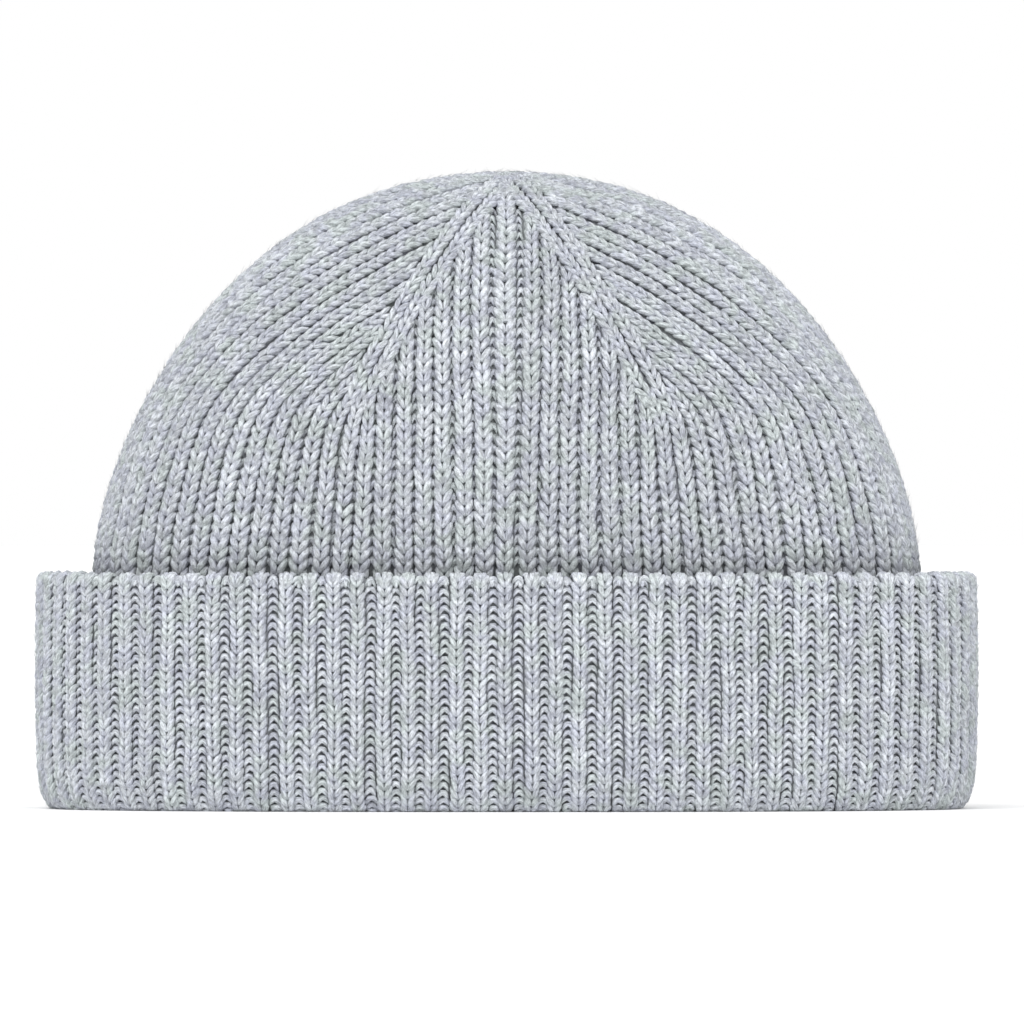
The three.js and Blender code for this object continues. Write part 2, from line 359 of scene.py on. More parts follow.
def layCopies(name, master, places, size):
    # one joined mesh of every copy; size gives its reach across and along, as shares of the place's
    # width and row, its reach out of the knit, and how far it is lifted off the surface
    count, corners = len(places["middle"]), len(master["corners"])
    points = len(master["co"])
    wobble = np.clip(rng.normal(0, 1, (count, 5)), -2, 2)
    turn = wobble[:, 0] * stray["turn"] + places.get("lean", 0)
    across = places["across"] * np.cos(turn)[:, None] + places["up"] * np.sin(turn)[:, None]
    up = places["up"] * np.cos(turn)[:, None] - places["across"] * np.sin(turn)[:, None]
    scale = np.stack([places["width"] * size["across"], places["pitch"] * size["along"],
                      np.full(count, size["out"])], axis=1)
    scale *= 1 + stray["size"] * wobble[:, 1:4]
    co = places["middle"][:, None, :] + 0.0
    for k, direction in enumerate((across, up, places["out"])):
        co = co + master["co"][None, :, k, None] * scale[:, None, k, None] * direction[:, None, :]
    co = co + places["out"][:, None, :] * (size["lift"] + stray["depth"] * wobble[:, 4])[:, None, None]
    co[..., 2] = np.maximum(co[..., 2], 0.0)          # flattened where the hat stands
    mesh = bpy.data.meshes.new(name)
    mesh.vertices.add(count * points)
    mesh.vertices.foreach_set("co", co.ravel())
    mesh.loops.add(count * corners)
    offsets = np.repeat(np.arange(count) * points, corners)
    mesh.loops.foreach_set("vertex_index", np.tile(master["corners"], count) + offsets)
    faces = len(master["starts"])
    mesh.polygons.add(count * faces)
    loopOffsets = np.repeat(np.arange(count) * corners, faces)
    mesh.polygons.foreach_set("loop_start", np.tile(master["starts"], count) + loopOffsets)
    mesh.polygons.foreach_set("loop_total", np.tile(master["totals"], count))
    mesh.polygons.foreach_set("use_smooth", np.ones(count * faces, bool))
    mesh.update(calc_edges=True)
    seed = rng.random(count)
    strand = np.tile(master["uv"], (count, 1))
    lengthScale = np.repeat(scale[:, 1], corners) / mm
    strandUv = mesh.uv_layers.new(name="strandUv")
    strandUv.data.foreach_set("uv", np.stack([strand[:, 0], strand[:, 1] * lengthScale], axis=1).ravel())
    side = (master["co"][master["corners"], 0] > 0) * 1.0
    cells = math.ceil(math.sqrt(count))
    cell = np.repeat(np.arange(count), corners)
    inCell = np.stack([(np.tile(side, count) + strand[:, 0]) / 2, strand[:, 1]], axis=1)
    inCell = bakeMargin + (1 - 2 * bakeMargin) * inCell
    bake = (np.stack([cell % cells, cell // cells], axis=1) + inCell) / cells
    bakeUv = mesh.uv_layers.new(name="OFBake")
    bakeUv.data.foreach_set("uv", bake.ravel())
    for label, values in (("stitchTone", seed), ("ribTone", places["ribTone"])):
        layer = mesh.attributes.new(label, "FLOAT", "POINT")
        layer.data.foreach_set("value", np.repeat(values, points))
    mesh.uv_layers.active_index = 0
    obj = bpy.data.objects.new(name, mesh)
    bpy.context.scene.collection.objects.link(obj)
    print(name, "stitches", count, "triangles", count * int((master["totals"] - 2).sum()))
    return obj


# bodies behind the stitches: closed walls made from a grid that is wrapped round the hat
bodyShape = {
    "ridgeDepth": 1.15 * mm,
    "valleyDepth": 2.5 * mm,
    "insideRelief": 0.9 * mm,            # how far the ribs show inside the crown
    "crownOutsideRows": 34, "crownInsideRows": 26, "cuffRows": 52,
    "apexDip": 0.3 * mm,
    "lipHeight": 5.5 * mm,               # the fold's inner lip, which hides the crown's end
    "slitTop": 8 * mm, "slitEase": 0.2 * mm, "slitTaper": 0.1 * mm,
    "edgeWrap": 12 * mm,                 # how far the cuff's section goes down behind its edge
    "flatBelow": 0.5 * mm,               # the valleys run out where the hat stands
}
# points along each stretch of the cuff's section
sectionSteps = {"fold": 13, "face": 24, "edge": 15, "even": 500}


def spreadRows(last, count):
    return np.unique(np.rint(np.linspace(0, last, count)).astype(int))


def wrapGrid(name, rings, knitRows):
    # rings is a list of rows of points; the last row closes on the first
    rows, columns = len(rings), len(rings[0])
    deselectAll()
    bpy.ops.mesh.primitive_grid_add(x_subdivisions=columns, y_subdivisions=rows, size=1)
    obj = bpy.context.object
    obj.name = name
    grid = np.zeros(len(obj.data.vertices) * 3)
    obj.data.vertices.foreach_get("co", grid)
    grid = grid.reshape(-1, 3)
    column = np.rint((grid[:, 0] + 0.5) * columns).astype(int)
    row = np.rint((grid[:, 1] + 0.5) * rows).astype(int)
    table = np.array(rings)
    obj.data.vertices.foreach_set("co", table[row % rows, column % columns].ravel())
    knitUv = obj.data.uv_layers[0]
    knitUv.name = "knitUv"
    uv = np.zeros(len(obj.data.loops) * 2)
    knitUv.data.foreach_get("uv", uv)
    uv = uv.reshape(-1, 2)
    along = np.concatenate([knitRows, [knitRows[-1] + 1]])
    uv = np.stack([uv[:, 0] * ribCount, np.interp(uv[:, 1] * rows, np.arange(rows + 1), along)], axis=1)
    knitUv.data.foreach_set("uv", uv.ravel())
    bpy.ops.object.mode_set(mode="EDIT")
    bpy.ops.mesh.select_all(action="SELECT")
    bpy.ops.mesh.remove_doubles(threshold=1e-6)
    bpy.ops.mesh.dissolve_degenerate(threshold=1e-6)
    bpy.ops.mesh.normals_make_consistent(inside=False)
    bpy.ops.object.mode_set(mode="OBJECT")
    bpy.ops.object.shade_smooth()
    print(name, "faces", len(obj.data.polygons))
    return obj


columnRibs = np.arange(ribCount * columnsPerRib) / columnsPerRib
ridge = 0.5 + 0.5 * np.cos(2 * math.pi * columnRibs)


def crownRing(level, inset, relief):
    places = np.array([foldRib(rib) for rib in columnRibs])
    column = np.rint(places[:, 0] * columnsPerRib).astype(int)
    ring = np.stack([crownX[level, column] * places[:, 1], crownY[level, column] * places[:, 2],
                     np.full(len(column), crownZ[level])], axis=1)
    normals = crownNormals(ring)
    if crownZ[level] <= cuffTop:
        normals[:, 2] = 0
        normals = unit(normals)
    return ring - normals * (inset + relief * (1 - ridge))[:, None]


def makeCrownBody():
    last = levelCount - 4               # above it the wall closes in one point
    outside = spreadRows(last, bodyShape["crownOutsideRows"])
    inside = spreadRows(last, bodyShape["crownInsideRows"])[::-1]
    relief = bodyShape["valleyDepth"] - bodyShape["ridgeDepth"]
    rings = [crownRing(i, bodyShape["ridgeDepth"], relief) for i in outside]
    columns = len(columnRibs)
    rings.append(np.tile([0, 0, hatTop - bodyShape["ridgeDepth"] - bodyShape["apexDip"]], (columns, 1)))
    rings.append(np.tile([0, 0, hatTop - outline["crownWall"]], (columns, 1)))
    rings += [crownRing(i, outline["crownWall"], -bodyShape["insideRelief"]) for i in inside]
    middle = np.array([ring[0] for ring in rings])
    return wrapGrid("crownBody", rings, walkedLength(middle) / knit["crownPitch"])


# the cuff's section: a path up the inside of the lip, under the fold, up the face and over the edge
def cuffSection():
    wall, radius, top = outline["cuffWall"], outline["foldRadius"], cuffTop
    reach, swell = outline["foldReach"], outline["foldSwell"]
    edge = wall / 2
    arc = np.linspace(0, math.pi / 2, sectionSteps["fold"])
    inside = foldThickness - radius
    parts = [np.array([[foldThickness, bodyShape["lipHeight"]]])]
    parts.append(np.stack([inside + radius * np.cos(arc), radius - radius * np.sin(arc)], axis=1))
    parts.append(np.stack([reach - reach * np.sin(arc), swell - swell * np.cos(arc)], axis=1))
    face = np.linspace(swell, top - edge, sectionSteps["face"])[1:-1]
    bulge = outline["cuffBulge"] * np.sin(math.pi * (face - swell) / (top - edge - swell))
    parts.append(np.stack([-bulge, face], axis=1))
    arc = np.linspace(0, math.pi, sectionSteps["edge"])
    parts.append(np.stack([edge - edge * np.cos(arc), top - edge + edge * np.sin(arc)], axis=1))
    parts.append(np.array([[wall, top - edge - bodyShape["edgeWrap"]]]))
    section = np.concatenate(parts)
    walked = walkedLength(section)
    even = np.linspace(0, walked[-1], sectionSteps["even"])
    section = np.stack([np.interp(even, walked, section[:, k]) for k in (0, 1)], axis=1)
    slope = unit(np.gradient(section, even, axis=0))
    return section, np.stack([-slope[:, 1], slope[:, 0]], axis=1)   # out of the knit, as (inset, height)


cuffPath, cuffOut = cuffSection()
cuffArc = ovalArc(cuffHalf[0], cuffHalf[1], 0)


def cuffPlan(rib):
    # a rib's place in the cuff's plan and its outward direction
    fromCentre, signX, signY = foldRib(rib)
    x, y, walked = cuffArc
    along = fromCentre / quarterRibs * walked[-1]
    place = np.array([np.interp(along, walked, x), np.interp(along, walked, y)])
    power = outline["ovalPower"] - 1
    normal = np.array([(place[i] / cuffHalf[i]) ** power / cuffHalf[i] for i in (0, 1)])
    sign = np.array([signX, signY])
    return place * sign, normal / np.linalg.norm(normal) * sign


def cuffColumn(rib, path, out):
    place, normal = cuffPlan(rib)
    inset, height = path[:, 0], path[:, 1]
    points = np.stack([place[0] - normal[0] * inset, place[1] - normal[1] * inset, height], axis=1)
    normals = np.stack([-normal[0] * out[:, 0], -normal[1] * out[:, 0], out[:, 1]], axis=1)
    return points, normals


def makeCuffBody():
    ridgeDepth = bodyShape["ridgeDepth"]
    relief = bodyShape["valleyDepth"] - ridgeDepth
    keep = spreadRows(len(cuffPath) - 1, bodyShape["cuffRows"])
    path, out = cuffPath[keep], cuffOut[keep]
    plans = [cuffPlan(rib) for rib in columnRibs]
    place = np.array([p[0] for p in plans])
    normal = np.array([p[1] for p in plans])
    rings = []
    for (inset, height), (outInset, outHeight) in zip(path, out):
        depth = ridgeDepth + (0 if height < bodyShape["flatBelow"] else relief) * (1 - ridge)
        deep = inset - outInset * depth
        rings.append(np.column_stack([place - normal * deep[:, None], height - outHeight * depth]))
    # down behind the cuff, and over to the lip inside the fold
    inner = outline["cuffWall"] - bodyShape["slitEase"]
    lip = bodyShape["lipHeight"]
    floorOfSlit = (inner + bodyShape["slitTaper"], lip)
    for deep, height in ((inner, bodyShape["slitTop"]), floorOfSlit, (foldThickness - ridgeDepth, lip)):
        rings.append(np.column_stack([place - normal * deep, np.full(len(place), height)]))
    middle = np.array([ring[0] for ring in rings])
    return wrapGrid("cuffBody", rings, walkedLength(middle) / knit["cuffPitch"])


# rows of stitches
knit = {
    "crownPitch": 2.66 * mm, "cuffPitch": 2.0 * mm,
    "crownWidth": 0.93, "cuffWidth": 0.645,         # of the room a rib has
    "crownNarrowest": 3.2 * mm, "crownWidest": 5.8 * mm,
    "nearestRib": 2.4 * mm,                         # a nearer neighbour doesn't narrow a rib
    # how near the chains and the seam a rib, the middle rib and a valley may end
    "endGap": 0.9 * mm, "centreEndGap": 0.3 * mm, "purlEndGap": 1.2 * mm,
    "crownStart": 52.4 * mm,                        # inside the cuff
    "purlBottom": 59.2 * mm, "purlTop": 112 * mm,
    # on each side of a side gore's middle so many valleys have purls up to the top
    "openValleys": 4,
    # how far a rib may stand off its even place
    "crownUneven": 0.25 * mm, "cuffUneven": 0.38 * mm,
    "chainWidth": (4.3 * mm, 3.7 * mm),             # at the cuff and from the first decrease up
    "chainNarrowing": 25 * mm,
    "chainGap": 1.75 * mm,                          # of each chain from the decrease line
    "chainParting": 0.8, "chainPartingPower": 1.5,  # in decreased ribs
    "chainBlend": 4,                                # how sharply the outer chain turns to the line
    "chainEnd": 0.2 * mm,                           # short of the middle
    "seamPoints": 9, "seamDip": 0.5 * mm,
    "seamReach": 1.4 * mm,                          # how far its row comes down in front and behind
    "seamTilt": 0.3,                                # its stitches look up at least so much
    "cuffFirst": 1 * mm,                            # from the path's start inside the fold
    "cuffLast": 2.4 * mm, "cuffLastPurl": 1.6 * mm, # short of the edge's top
    "castOnFrom": 0.1 * mm, "castOnTo": 0.6 * mm,   # one row, about the edge's top
    "foldFill": 1.1 * mm,                           # the fold stretches the knit, so its valleys are shallow
}
noNeighbour = 1.0          # in metres, more than any gap between two ribs


def ribTone(rib):
    return float(np.random.default_rng(500 + int(rib * 2)).random())


def ribShift(rib, reach):
    # ribs stand a little unevenly, and a valley moves with the ribs beside it
    below = math.floor(rib)
    shifts = [np.random.default_rng(900 + (below + k) % ribCount).uniform(-reach, reach) for k in (0, 1)]
    return float(np.interp(rib - below, (0, 1), shifts))


def spineLine(signX, signY):
    live = liveFrontRibs(crownZ)
    x = spineAcross(crownZ)
    y = ovalDepth(x, halfAt(0, crownZ), halfAt(1, crownZ))
    keep = crownZ < spineTop
    return np.stack([x * signX, y * signY, crownZ], axis=1)[keep], live[keep]


spines = {(sx, sy): spineLine(sx, sy) for sx in (1, -1) for sy in (1, -1)}
seamY = np.linspace(-1, 1, knit["seamPoints"]) * halfAt(1, spineTop)
seam = np.array([[0, y, hatTop - knit["seamDip"]] for y in seamY])


def chainLine(signX, signY, inner):
    # two chains run up each decrease line: the inner one parts from the line as the decreases begin,
    # and the outer one starts as the next rib and then keeps its gap from the line
    line, live = spines[(signX, signY)]
    keep = line[:, 2] >= knit["crownStart"]
    line, live = line[keep], live[keep]
    tangents = unit(np.gradient(line, walkedLength(line), axis=0))
    outward = np.cross(tangents, crownNormals(line))
    outward *= np.sign((outward * np.array([signX, 0, 0])).sum(axis=1, keepdims=True))
    gap = knit["chainGap"]
    if inner:
        parted = np.clip((outline["frontHalfRibs"] - live) / knit["chainParting"], 0, 1)
        offset = -gap * parted ** knit["chainPartingPower"]
    else:
        nextRib = crownColumn(outline["frontHalfRibs"] + 1)
        nextRib = nextRib[(crownZ >= knit["crownStart"]) & (crownZ < spineTop)]
        mirrored = line * np.array([signX, -signY, 1])
        blend = knit["chainBlend"]
        offset = (np.linalg.norm(nextRib - mirrored, axis=1) ** blend + gap ** blend) ** (1 / blend)
    points = line + outward * offset[:, None]
    return points[points[:, 0] * signX > knit["chainEnd"]]


def chainPlaces(signX, signY, inner):
    points = chainLine(signX, signY, inner)
    narrowing = (spineBase - knit["chainNarrowing"], spineBase)
    widths = np.interp(points[:, 2], narrowing, knit["chainWidth"])
    places = placesAlong(points, crownNormals(points), widths, knit["crownPitch"])
    ownNumber = 7 + 2 * signX + signY + inner
    places["ribTone"] = np.full(len(places["middle"]), ribTone(ownNumber))
    return places


def crownRibPlaces(rib, barrier, endGap, begin=knit["crownStart"], end=hatTop):
    # places up a rib or a valley, until it comes near the barrier of chains and seam
    points = crownColumn(rib)
    keep = (points[:, 2] >= begin) & (points[:, 2] < end)
    points = points[keep]
    near = np.sqrt(((points[:, None, :] - barrier[None, :, :]) ** 2).sum(axis=2)).min(axis=1)
    stop = np.argmax(near < endGap) if (near < endGap).any() else len(points) - 2
    points = points[:max(stop, 3)]                  # a path needs a few points
    tangents = unit(np.gradient(points, walkedLength(points), axis=0))
    spacing = np.full(len(points), noNeighbour)
    for other in (rib - 1, rib + 1):
        gap = crownColumn(other)[keep][:len(points)] - points
        gap = np.linalg.norm(gap - tangents * (gap * tangents).sum(axis=1, keepdims=True), axis=1)
        spacing = np.minimum(spacing, np.where(gap < knit["nearestRib"], noNeighbour, gap))
    spacing = np.where(spacing == noNeighbour, outline["frontPitch"], spacing)
    widths = np.clip(spacing * knit["crownWidth"], knit["crownNarrowest"], knit["crownWidest"])
    places = placesAlong(points, crownNormals(points), widths, knit["crownPitch"])
    places["middle"] += places["across"] * ribShift(rib, knit["crownUneven"])
    places["ribTone"] = np.full(len(places["middle"]), ribTone(rib))
    return places


stitch = readMaster(modelStitch())
bump = readMaster(modelBump())
castOnStrand = readMaster(modelCastOn())
fibre = readMaster(modelFibre())
print("stitch masters ready")

# how big the copies are: across and along as shares of a rib and a row, thickness and depth in metres
crownSize = {"across": 1.0, "along": 1.0, "out": 1.9 * mm, "lift": -0.85 * mm}
cuffSize = {"across": knit["cuffWidth"], "along": 1.0, "out": 1.75 * mm, "lift": -0.75 * mm}
chainSize = dict(crownSize, lift=-0.55 * mm)
bumpSize = {"across": 0.50, "along": 0.62, "out": 1.4 * mm, "lift": -1.4 * mm}
crownBumpSize = dict(bumpSize, across=0.52, lift=-1.9 * mm)
edgeSize = {"across": 0.26, "along": 2.1, "out": 1.2 * mm, "lift": -0.75 * mm}

half = outline["frontHalfRibs"]
groups = {
    "crownFrontRibs": (range(-half + 1, half), [(1, -1), (-1, -1)]),
    "crownBackRibs": (range(2 * quarterRibs - half + 1, 2 * quarterRibs + half), [(1, 1), (-1, 1)]),
    "crownRightRibs": (range(half + 2, 2 * quarterRibs - half - 1), [(1, -1), (1, 1)]),
    "crownLeftRibs": (range(2 * quarterRibs + half + 2, 4 * quarterRibs - half - 1), [(-1, -1), (-1, 1)]),
}
crownPieces, cuffPieces = [], []
fuzzFrom = {"crown": [], "cuff": []}
for name, (ribs, corners) in groups.items():
    inner = name in ("crownFrontRibs", "crownBackRibs")
    barrier = np.concatenate([chainLine(signX, signY, inner) for signX, signY in corners] + [seam])
    middle = (ribs[0] + ribs[-1]) / 2
    rows = []
    for rib in ribs:
        endGap = knit["centreEndGap"] if inner and rib == middle else knit["endGap"]
        rows.append(crownRibPlaces(rib, barrier, endGap))
    fuzzFrom["crown"] += rows
    crownPieces.append(layCopies(name, stitch, joinPlaces(rows), crownSize))
    rows = [chainPlaces(signX, signY, inner) for signX, signY in corners]
    fuzzFrom["crown"] += rows
    crownPieces.append(layCopies(name.replace("Ribs", "Chains"), stitch, joinPlaces(rows), chainSize))
    rows = []
    # the valleys, and the next ones beside them under the chains
    for rib in range(ribs[0] - 2, ribs[-1] + 2):
        wideOpen = abs(rib + 0.5 - middle) < knit["openValleys"]
        top = hatTop if inner or wideOpen else knit["purlTop"]
        rows.append(crownRibPlaces(rib + 0.5, barrier, knit["purlEndGap"], knit["purlBottom"], top))
    crownPieces.append(layCopies(name.replace("Ribs", "Purls"), bump, joinPlaces(rows), crownBumpSize))

# one row of stitches closes the short seam that the decrease lines meet in
overTop = crownZ > spineTop - knit["seamReach"]
seamLine = np.concatenate([crownColumn(0)[overTop], crownColumn(2 * quarterRibs)[overTop][::-1]])
seamNormals = crownNormals(seamLine)
seamNormals[:, 2] = np.maximum(seamNormals[:, 2], knit["seamTilt"])
seamWidths = np.full(len(seamLine), knit["chainWidth"][1])
seamPlaces = placesAlong(seamLine, unit(seamNormals), seamWidths, knit["crownPitch"])
seamPlaces["ribTone"] = np.full(len(seamPlaces["middle"]), ribTone(0))
crownPieces.append(layCopies("crownSeam", stitch, seamPlaces, crownSize))

walkedCuff = walkedLength(np.column_stack([cuffPath, np.zeros(len(cuffPath))]))
topAt = walkedCuff[np.argmax(cuffPath[:, 1])]         # where the path goes over the edge


def cuffPlaces(ribs, start, end):
    rows = []
    for rib in ribs:
        points, normals = cuffColumn(rib, cuffPath, cuffOut)
        left, right = cuffPlan(rib - 0.5)[0], cuffPlan(rib + 0.5)[0]
        widths = np.full(len(points), np.linalg.norm(right - left))
        places = placesAlong(points, normals, widths, knit["cuffPitch"], start, end)
        places["middle"] += places["across"] * ribShift(rib, knit["cuffUneven"])
        places["ribTone"] = np.full(len(places["middle"]), ribTone(rib + 200))     # not the crown's tones
        rows.append(places)
    return joinPlaces(rows)


# strands of the cast-on edge: where they stand in a rib's width, how they lean, how deep they lie
castOnRows = [
    {"shift": -0.19, "lean": 16, "dip": 0.15 * mm},
    {"shift": 0.0, "lean": 0, "dip": 0.0},
    {"shift": 0.19, "lean": -16, "dip": 0.15 * mm},
    {"shift": 0.5, "lean": 0, "dip": 1.0 * mm},
]


def castOnPlaces(ribs):
    several = []
    for row in castOnRows:
        shifted = [rib + row["shift"] for rib in ribs]
        places = cuffPlaces(shifted, topAt - knit["castOnFrom"], topAt + knit["castOnTo"])
        places["middle"] = places["middle"] - places["out"] * row["dip"]
        places["lean"] = np.full(len(places["middle"]), math.radians(row["lean"]))
        several.append(places)
    return joinPlaces(several)


for name, first in (("cuffFrontRibs", -quarterRibs), ("cuffBackRibs", quarterRibs)):
    ribs = range(first, first + 2 * quarterRibs)
    places = cuffPlaces(ribs, knit["cuffFirst"], topAt - knit["cuffLast"])
    fuzzFrom["cuff"].append(places)
    cuffPieces.append(layCopies(name, stitch, places, cuffSize))
    valleys = [rib + 0.5 for rib in ribs]
    purls = cuffPlaces(valleys, knit["cuffFirst"], topAt - knit["cuffLastPurl"])
    under = np.clip(-purls["out"][:, 2], 0, 1)
    purls["middle"] += purls["out"] * (under * knit["foldFill"])[:, None]
    cuffPieces.append(layCopies(name.replace("Ribs", "Purls"), bump, purls, bumpSize))
    cuffPieces.append(layCopies(name.replace("Ribs", "Edge"), castOnStrand, castOnPlaces(ribs), edgeSize))

# fuzz: short loose fibres that stand off the yarn
fuzz = {
    "crown": 7000, "cuff": 6000,                    # so many fibres
    "length": (1.2 * mm, 3.4 * mm), "thickness": 0.075 * mm,
    "slant": 1.2,                                   # radians to either side of the rib's run
    "standOff": 0.45, "spread": 0.8,
}


def layFuzz(name, several, count):
    places = joinPlaces(several)
    pick = rng.integers(0, len(places["middle"]), count)
    up, out, across = (places[key][pick] for key in ("up", "out", "across"))
    slant = rng.uniform(-fuzz["slant"], fuzz["slant"], count)[:, None]
    standOff = rng.uniform(0, fuzz["standOff"], count)[:, None]
    along = unit(up * np.cos(slant) + across * np.sin(slant) + out * standOff)
    sideways = unit(np.cross(along, out))
    length = rng.uniform(*fuzz["length"], count)
    aside = rng.uniform(-0.5, 0.5, count) * places["width"][pick] * fuzz["spread"]
    start = places["middle"][pick] + across * aside[:, None]
    hairs = {
        "middle": start + along * (length / 2)[:, None], "up": along, "across": sideways,
        "out": np.cross(sideways, along), "width": np.full(count, fuzz["thickness"]), "pitch": length,
        "ribTone": places["ribTone"][pick],
    }
    fuzzSize = {"across": 1.0, "along": 1.0, "out": fuzz["thickness"], "lift": 0}
    return layCopies(name, fibre, hairs, fuzzSize)


crownPieces.append(layFuzz("crownFuzz", fuzzFrom["crown"], fuzz["crown"]))
cuffPieces.append(layFuzz("cuffFuzz", fuzzFrom["cuff"], fuzz["cuff"]))
crownBody = makeCrownBody()
cuffBody = makeCuffBody()
print("bodies ready")


# materials: colours and brightness, with painted light on the cuff and painted shade on the bodies and by
# height, then how the yarn is streaked, patched and roughened
yarnLook = {
    "light": (0.54, 0.565, 0.60), "lilac": (0.45, 0.47, 0.53),
    "moss": (0.475, 0.515, 0.52), "dark": (0.17, 0.18, 0.205),
    # the cuff's yarn is set lighter than the crown's, though it is the same yarn: painted light; the bodies'
    # darker yarn is painted shade in the gaps
    "crownShade": 1.13, "cuffShade": 1.20, "bodyPaintedShade": 0.67,
    "streakDark": 0.38, "streakLight": 0.14,
    "stitchShade": 0.05, "ribShade": 0.05,
    "streakStretch": (10, 1.9, 0),                  # across and along the strand
    "stitchJump": (31, 17, 53),
    # scale, detail and roughness of each noise, then the part of it that is used
    "streakNoise": (1.0, 2, 0.6), "streakRamp": (0.38, 0.62),
    "lilacNoise": (300, 2, 0.5), "lilacRamp": (0.40, 0.60),
    "mossNoise": (190, 1, 0.5), "mossRamp": (0.48, 0.66),
    "fluffNoise": (3200, 2, 0.6), "fluffRamp": (0.55, 0.80), "fluffShare": 0.6,
    "bumpDepth": 0.4 * mm, "bumpStrength": 0.8, "fluffBump": (0.3, 0.7), "fluffBumpShare": 0.5,
    "Roughness": 0.95, "Specular IOR Level": 0.2, "Sheen Weight": 0.08, "Sheen Roughness": 0.5,
    # painted shade, darker by height: on the cuff's lowest rows, which lie turned away, and on the crown's
    # where it comes out of the cuff
    "cuffTuck": {"PaintedShadeLow": 0.0, "PaintedShadeHigh": 10 * mm, "PaintedShadeTone": 0.96},
    "crownTuck": {"PaintedShadeLow": cuffTop - 1 * mm, "PaintedShadeHigh": cuffTop + 4.5 * mm, "PaintedShadeTone": 0.78},
}


def yarnGroup():
    group = bpy.data.node_groups.new("heatherYarn", "ShaderNodeTree")
    for label in ("Light", "Lilac", "Moss", "Dark"):
        group.interface.new_socket(label, in_out="INPUT", socket_type="NodeSocketColor")
    # inputs for the painted shade by height
    for label in yarnLook["cuffTuck"]:
        group.interface.new_socket(label, in_out="INPUT", socket_type="NodeSocketFloat")
    group.interface.new_socket("Color", in_out="OUTPUT", socket_type="NodeSocketColor")
    group.interface.new_socket("Height", in_out="OUTPUT", socket_type="NodeSocketFloat")
    nodes, links = group.nodes, group.links
    start = nodes.new("NodeGroupInput")
    end = nodes.new("NodeGroupOutput")
    place = nodes.new("ShaderNodeTexCoord")
    stitchTone = nodes.new("ShaderNodeAttribute")
    stitchTone.attribute_name = "stitchTone"
    ribTone = nodes.new("ShaderNodeAttribute")
    ribTone.attribute_name = "ribTone"
    strand = nodes.new("ShaderNodeUVMap")
    strand.uv_map = "strandUv"

    def noise(vector, look):
        node = nodes.new("ShaderNodeTexNoise")
        for label, number in zip(("Scale", "Detail", "Roughness"), look):
            node.inputs[label].default_value = number
        links.new(vector, node.inputs["Vector"])
        return node.outputs["Fac"]

    def ramp(value, low, high, newLow=0.0, newHigh=1.0):
        node = nodes.new("ShaderNodeMapRange")
        numbers = {"From Min": low, "From Max": high, "To Min": newLow, "To Max": newHigh}
        for label, number in numbers.items():
            node.inputs[label].default_value = number
        links.new(value, node.inputs["Value"])
        return node.outputs["Result"]

    def mix(fac, a, b, blend="MIX"):
        node = nodes.new("ShaderNodeMix")
        node.data_type = "RGBA"
        node.blend_type = blend
        if isinstance(fac, float):
            node.inputs[0].default_value = fac
        else:
            links.new(fac, node.inputs[0])
        links.new(a, node.inputs[6])
        links.new(b, node.inputs[7])
        return node.outputs[2]

    # fibres run along the strand, and each stitch starts somewhere else in the noise
    stretch = nodes.new("ShaderNodeVectorMath")
    stretch.operation = "MULTIPLY"
    stretch.inputs[1].default_value = yarnLook["streakStretch"]
    links.new(strand.outputs["UV"], stretch.inputs[0])
    jump = nodes.new("ShaderNodeVectorMath")
    jump.operation = "MULTIPLY_ADD"
    jump.inputs[1].default_value = yarnLook["stitchJump"]
    links.new(stitchTone.outputs["Vector"], jump.inputs[0])
    links.new(stretch.outputs["Vector"], jump.inputs[2])
    streak = noise(jump.outputs["Vector"], yarnLook["streakNoise"])
    objectPlace = place.outputs["Object"]
    lilac = ramp(noise(objectPlace, yarnLook["lilacNoise"]), *yarnLook["lilacRamp"])
    moss = ramp(noise(objectPlace, yarnLook["mossNoise"]), *yarnLook["mossRamp"])
    fluff = noise(objectPlace, yarnLook["fluffNoise"])
    dark = ramp(fluff, *yarnLook["fluffRamp"], 0, yarnLook["fluffShare"])
    color = mix(lilac, start.outputs["Light"], start.outputs["Lilac"])
    color = mix(moss, color, start.outputs["Moss"])
    color = mix(dark, color, start.outputs["Dark"])
    tones = (1 - yarnLook["streakDark"], 1 + yarnLook["streakLight"])
    color = mix(1.0, color, ramp(streak, *yarnLook["streakRamp"], *tones), "MULTIPLY")
    for tone, shade in ((stitchTone, yarnLook["stitchShade"]), (ribTone, yarnLook["ribShade"])):
        color = mix(1.0, color, ramp(tone.outputs["Fac"], 0, 1, 1 - shade, 1 + shade), "MULTIPLY")
    # painted shade: the colour darkens by height over the given band
    height = nodes.new("ShaderNodeSeparateXYZ")
    links.new(objectPlace, height.inputs["Vector"])
    tuckAndPaintedShade = nodes.new("ShaderNodeMapRange")
    links.new(height.outputs["Z"], tuckAndPaintedShade.inputs["Value"])
    for label, socket in (("PaintedShadeLow", "From Min"), ("PaintedShadeHigh", "From Max"), ("PaintedShadeTone", "To Min")):
        links.new(start.outputs[label], tuckAndPaintedShade.inputs[socket])
    color = mix(1.0, color, tuckAndPaintedShade.outputs["Result"], "MULTIPLY")
    links.new(color, end.inputs["Color"])
    both = nodes.new("ShaderNodeMath")
    both.operation = "ADD"
    links.new(streak, both.inputs[0])
    links.new(ramp(fluff, *yarnLook["fluffBump"], 0, yarnLook["fluffBumpShare"]), both.inputs[1])
    links.new(both.outputs["Value"], end.inputs["Height"])
    return group


yarn = yarnGroup()


